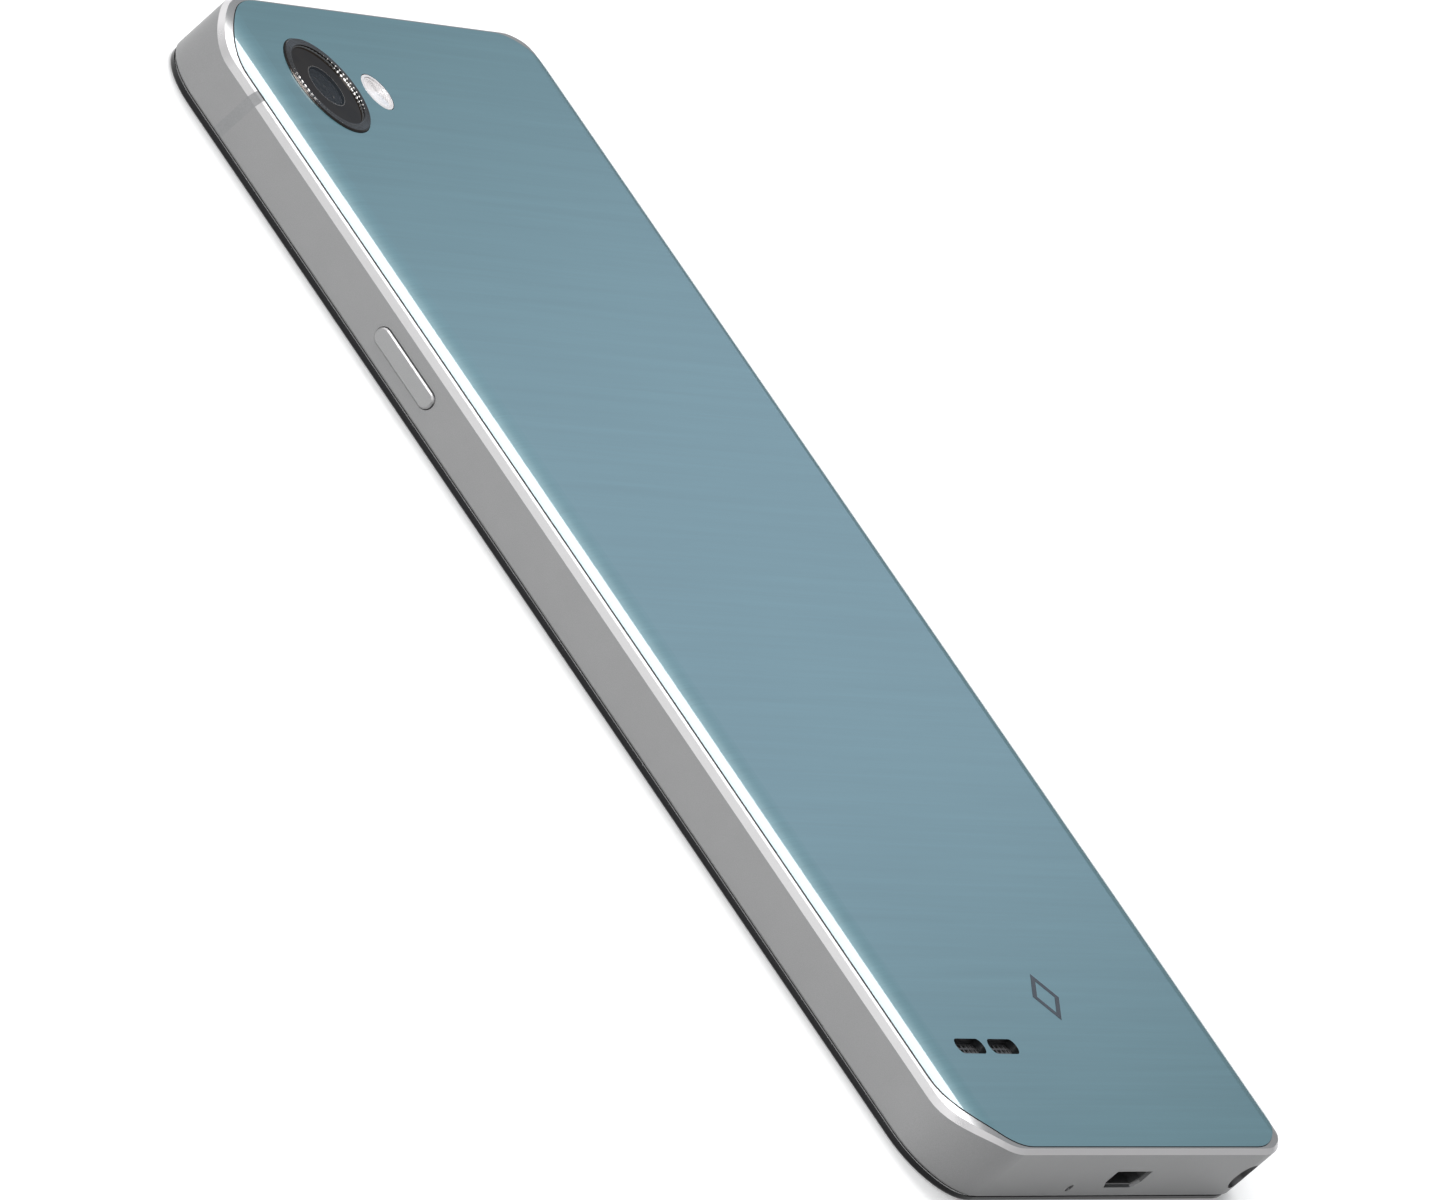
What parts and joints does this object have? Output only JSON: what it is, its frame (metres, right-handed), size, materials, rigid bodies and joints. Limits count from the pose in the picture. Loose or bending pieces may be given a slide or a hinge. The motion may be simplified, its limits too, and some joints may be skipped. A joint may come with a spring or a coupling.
{
  "type": "smartphone",
  "caption": "Slim rounded smartphone with a metal side frame, a rear cover curving down at its long edges, a round rear camera, side keys, a card tray and end ports.",
  "frame": {"origin": "centre of the outer face of the cover glass, on which the phone lies", "axes": "+Z out of the rear cover, +Y towards the end with the cameras, +X to the right as the rear is seen"},
  "size_m": [0.07, 0.1424, 0.0083],
  "materials": {
    "clear_glass": "polished",
    "black_ink": "satin",
    "black_tape": "matt",
    "display": "polished",
    "white_film": "matt",
    "frame_aluminium": "bead-blasted satin",
    "break_plastic": "satin",
    "cast_magnesium": "as cast",
    "chassis_plastic": "matt",
    "cover_lacquer": "pearl lacquer under a clear coat",
    "bezel_metal": "turned and polished",
    "dark_glass": "polished",
    "flash_lens": "frosted",
    "mesh_steel": "blackened",
    "emblem_metal": "polished",
    "spring_steel": "bright",
    "tin_plate": "bright",
    "polyimide": "satin",
    "circuit_board": "solder mask",
    "chip_black": "matt",
    "battery_foil": "satin film",
    "card_plastic": "matt",
    "rubber_black": "matt",
    "lens_glass": "coated",
    "lens_black": "matt",
    "cone_paper": "matt",
    "tungsten": "sintered",
    "sensor_silicon": "polished",
    "cream_plastic": "matt"
  },
  "bodies": {
    "phone": {"cover_glass": "clear_glass", "glass_mask": "black_ink", "glass_tape": "black_tape", "display_panel": "display", "backlight": "white_film", "side_frame": "frame_aluminium", "antenna_breaks": "break_plastic", "mid_plate": "cast_magnesium", "chassis": "chassis_plastic", "rear_cover": "cover_lacquer", "emblem": "emblem_metal", "cover_tape": "black_tape", "camera_bezel": "bezel_metal", "camera_window": "dark_glass", "camera_trim": "lens_black", "flash_window": "flash_lens", "speaker_mesh": "mesh_steel", "key_switches": "polyimide", "card_reader": "tin_plate", "main_board": "circuit_board", "sub_board": "circuit_board", "board_chips": "chip_black", "shield_cans": "tin_plate", "antenna_carrier": "chassis_plastic", "battery": "battery_foil", "battery_tab": "polyimide", "board_flex": "polyimide", "coax_cable": "rubber_black", "board_plugs": "cream_plastic", "display_flex": "polyimide", "camera_housing": "lens_black", "image_sensor": "sensor_silicon", "flash_led": "cream_plastic", "front_camera": "lens_black", "front_lens": "lens_glass", "proximity_sensor": "chip_black", "earpiece_mesh": "mesh_steel", "earpiece_receiver": "tin_plate", "speaker_box": "chassis_plastic", "speaker_magnet": "tungsten", "mic_boots": "rubber_black", "microphones": "tin_plate", "headphone_socket": "chassis_plastic", "usb_shell": "tin_plate", "usb_tongue": "chip_black", "motor_case": "tin_plate", "motor_boot": "rubber_black", "screws": "spring_steel"},
    "power_key": {"power_key": "frame_aluminium"},
    "volume_up": {"volume_up_key": "frame_aluminium"},
    "volume_down": {"volume_down_key": "frame_aluminium"},
    "card_tray": {"card_tray": "frame_aluminium", "sim_card": "card_plastic", "memory_card": "chip_black"},
    "eject_rod": {"eject_rod": "spring_steel"},
    "eject_lever": {"eject_lever": "spring_steel"},
    "lens_carrier": {"lens_barrel": "lens_black", "camera_lenses": "lens_glass"},
    "speaker_cone": {"speaker_cone": "cone_paper"},
    "motor_rotor": {"motor_weight": "tungsten"}
  },
  "joints": [
    {"name": "power_key_press", "type": "slide", "parent": "phone", "child": "power_key", "axis": [1, 0, 0], "range_m": [0, 0.00025], "stiffness_N_per_m": 2000},
    {"name": "volume_up_press", "type": "slide", "parent": "phone", "child": "volume_up", "axis": [-1, 0, 0], "range_m": [0, 0.00025], "stiffness_N_per_m": 2000},
    {"name": "volume_down_press", "type": "slide", "parent": "phone", "child": "volume_down", "axis": [-1, 0, 0], "range_m": [0, 0.00025], "stiffness_N_per_m": 2000},
    {"name": "card_tray_slide", "type": "slide", "parent": "phone", "child": "card_tray", "axis": [1, 0, 0], "range_m": [0, 0.028]},
    {"name": "eject_rod_push", "type": "slide", "parent": "phone", "child": "eject_rod", "axis": [-1, 0, 0], "range_m": [0, 0.0012]},
    {"name": "eject_lever_turn", "type": "hinge", "parent": "phone", "child": "eject_lever", "pos_m": [0.00375, 0.051, 0.0035], "axis": [0, 0, 1], "range_deg": [0, 9.1]},
    {"name": "lens_focus", "type": "slide", "parent": "phone", "child": "lens_carrier", "axis": [0, 0, 1], "range_m": [0, 0.00025], "stiffness_N_per_m": 100},
    {"name": "speaker_cone_stroke", "type": "slide", "parent": "phone", "child": "speaker_cone", "axis": [0, 0, 1], "range_m": [-0.00025, 0.00025], "stiffness_N_per_m": 500},
    {"name": "motor_spin", "type": "hinge", "parent": "phone", "child": "motor_rotor", "pos_m": [0.0156, -0.05025, 0.0046], "axis": [1, 0, 0], "continuous": true}
  ],
  "couplings": [
    {"joint": "eject_lever_turn", "follows": "eject_rod_push", "rad_per_m": 131.58}
  ]
}
